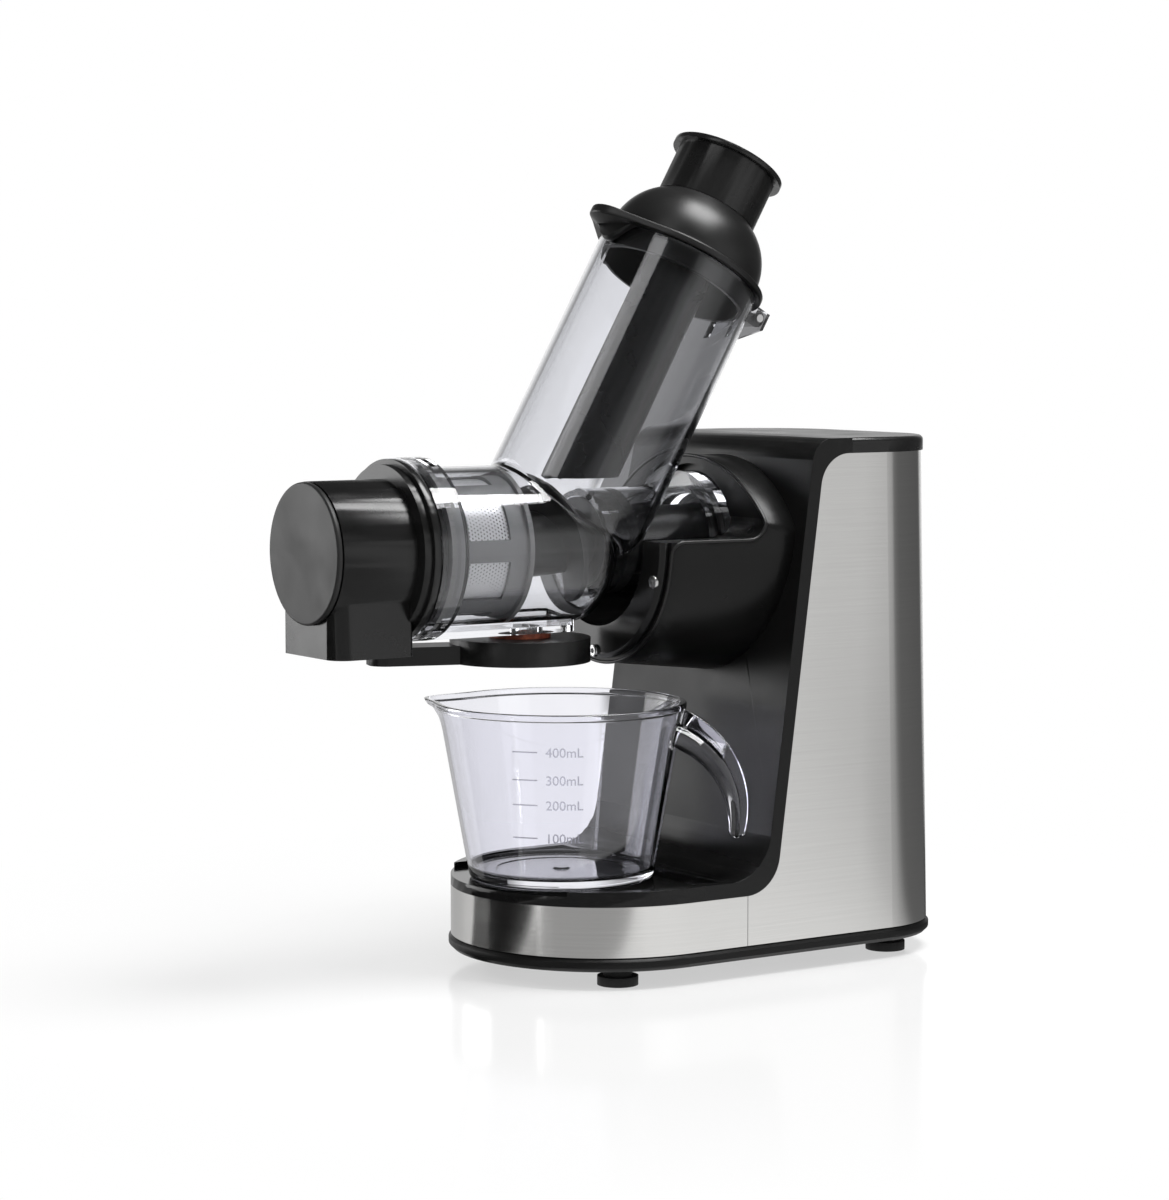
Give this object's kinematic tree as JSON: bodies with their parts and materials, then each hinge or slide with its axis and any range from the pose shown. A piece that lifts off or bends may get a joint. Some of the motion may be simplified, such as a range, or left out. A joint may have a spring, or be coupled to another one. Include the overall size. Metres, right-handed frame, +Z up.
{
  "type": "slow juicer",
  "caption": "Upright slow juicer: clear horizontal drum with auger and slanted feed tube, lid with pusher, pulp chute, juice sieve and measuring jug on a steel-clad base.",
  "frame": {"origin": "on the floor under the middle of the machine's outline", "axes": "+Z up, -Y towards the pulp chute at the front, +X to the side of the jug's handle"},
  "size_m": [0.153, 0.3412, 0.4133],
  "materials": {
    "housing_black": "satin moulded plastic",
    "steel": "brushed stainless sheet",
    "foot_rubber": "matt rubber",
    "lid_black": "gloss moulded plastic",
    "clear_plastic": "clear moulded plastic",
    "auger_black": "satin moulded plastic",
    "seal_silicone": "soft silicone",
    "outlet_silicone": "soft silicone",
    "mesh_steel": "fine steel mesh",
    "screw_steel": "plated steel",
    "gear_metal": "cut steel",
    "gear_plastic": "moulded gear plastic",
    "case_plastic": "glass-filled plastic",
    "bush_bronze": "sintered bronze",
    "motor_metal": "zinc-plated steel",
    "switch_black": "gloss moulded plastic"
  },
  "bodies": {
    "base": {"base_plate": "housing_black", "rubber_feet": "foot_rubber", "front_shell": "housing_black", "steel_front_band": "steel", "steel_wrap": "steel", "top_cap": "housing_black", "rear_cover": "housing_black", "collar_shell": "housing_black", "collar_ring": "housing_black", "collar_screws": "screw_steel", "shaft_seal": "seal_silicone", "gearcase_front": "case_plastic", "gearcase_rear": "case_plastic", "gearcase_posts": "gear_metal", "idler_axle": "gear_metal", "output_bushes": "bush_bronze", "motor_can": "motor_metal", "motor_end_cap": "motor_metal", "motor_stator": "gear_metal", "motor_bushes": "bush_bronze", "switch_frame": "switch_black", "cord_gland": "foot_rubber"},
    "rotor": {"motor_shaft": "gear_metal", "rotor_core": "gear_metal", "motor_pinion": "gear_metal"},
    "idler": {"idler_gear": "gear_plastic", "idler_pinion": "gear_metal"},
    "drive": {"output_gear": "gear_plastic", "output_shaft": "gear_metal", "drive_socket": "auger_black", "auger": "auger_black"},
    "drum": {"drum_shell": "clear_plastic", "drum_seal": "seal_silicone", "hinge_pin": "screw_steel", "lid": "lid_black", "strainer_frame": "auger_black", "strainer_mesh": "mesh_steel", "outlet_seal": "outlet_silicone", "juice_sieve": "lid_black", "sieve_mesh": "mesh_steel"},
    "front_cap": {"front_cap": "lid_black", "cap_face_disc": "lid_black"},
    "pusher": {"pusher": "lid_black"},
    "jug": {"jug": "clear_plastic"},
    "rocker": {"rocker": "switch_black"}
  },
  "joints": [
    {"name": "motor_spin", "type": "hinge", "parent": "base", "child": "rotor", "pos_m": [0, 0.13, 0.1252], "axis": [0, 1, 0], "continuous": true},
    {"name": "idler_spin", "type": "hinge", "parent": "base", "child": "idler", "pos_m": [0, 0.09, 0.1627], "axis": [0, 1, 0], "continuous": true},
    {"name": "auger_spin", "type": "hinge", "parent": "base", "child": "drive", "pos_m": [0, 0, 0.2107], "axis": [0, 1, 0], "continuous": true},
    {"name": "drum_twist", "type": "hinge", "parent": "base", "child": "drum", "pos_m": [0, 0, 0.2107], "axis": [0, 1, 0], "range_deg": [0, 18]},
    {"name": "cap_twist", "type": "hinge", "parent": "drum", "child": "front_cap", "pos_m": [0, -0.121, 0.2107], "axis": [0, 1, 0], "range_deg": [0, 30]},
    {"name": "pusher_slide", "type": "slide", "parent": "drum", "child": "pusher", "axis": [0, 0.5, 0.866], "range_m": [0, 0.165]},
    {"name": "jug_slide", "type": "slide", "parent": "base", "child": "jug", "axis": [0, -1, 0], "range_m": [0, 0.12]},
    {"name": "rocker_tilt", "type": "hinge", "parent": "base", "child": "rocker", "pos_m": [0, 0.1669, 0.088], "axis": [1, 0, 0], "range_deg": [-11, 11]}
  ],
  "couplings": [
    {"joint": "idler_spin", "follows": "motor_spin", "ratio": -0.25},
    {"joint": "auger_spin", "follows": "motor_spin", "ratio": 0.07}
  ]
}
